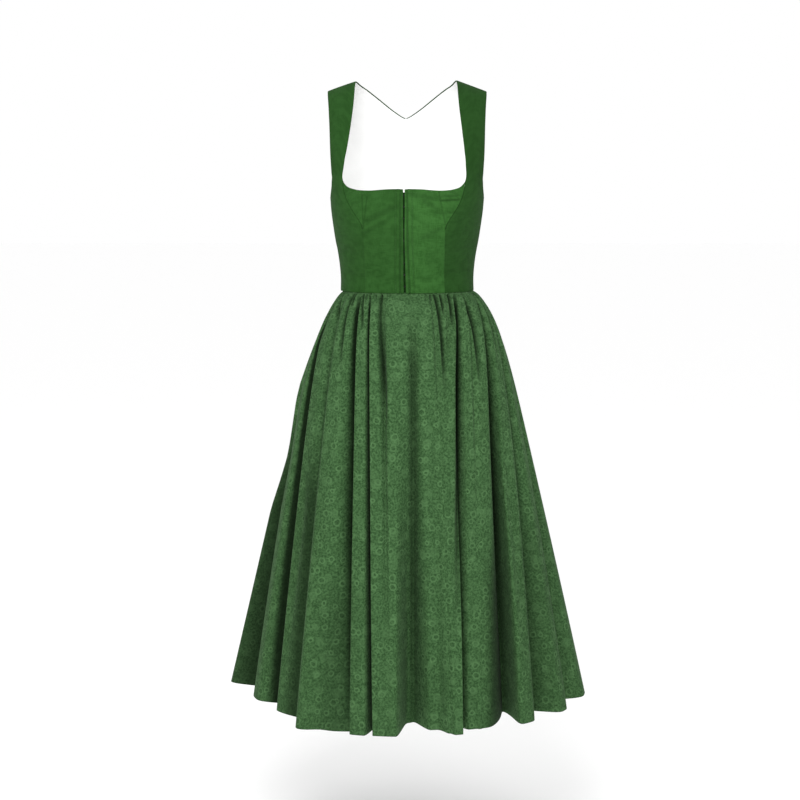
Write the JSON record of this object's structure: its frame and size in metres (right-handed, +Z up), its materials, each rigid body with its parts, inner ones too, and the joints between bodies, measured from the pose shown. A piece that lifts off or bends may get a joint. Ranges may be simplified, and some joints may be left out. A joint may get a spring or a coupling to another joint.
{
  "type": "dirndl dress",
  "caption": "Sleeveless green dirndl dress: darted linen bodice on wide straps, white lining, hooked front closure and a full gathered skirt of small-print cotton.",
  "frame": {"origin": "midway between the two shoulder seams, where a wearer's shoulders hold the dress up", "axes": "+Z up along the wearer's body, front towards -Y, the wearer's left towards +X"},
  "size_m": [0.6487, 0.6129, 1.1013],
  "materials": {
    "linen": "plain-woven dark green linen, matt, with a slight slub",
    "print": "dark green printed cotton with small lighter rings and flowers, matt",
    "lining": "plain white cotton, matt"
  },
  "bodies": {
    "root": {"bodice_back": "linen", "bodice_front_left": "linen", "bodice_front_right": "linen", "bodice_side_front_left": "linen", "bodice_side_front_right": "linen", "closure_underlap": "linen", "lining_back": "lining", "lining_front_left": "lining", "lining_front_right": "lining", "lining_side_front_left": "lining", "lining_side_front_right": "lining", "skirt_back": "print", "skirt_front": "print"}
  },
  "joints": []
}
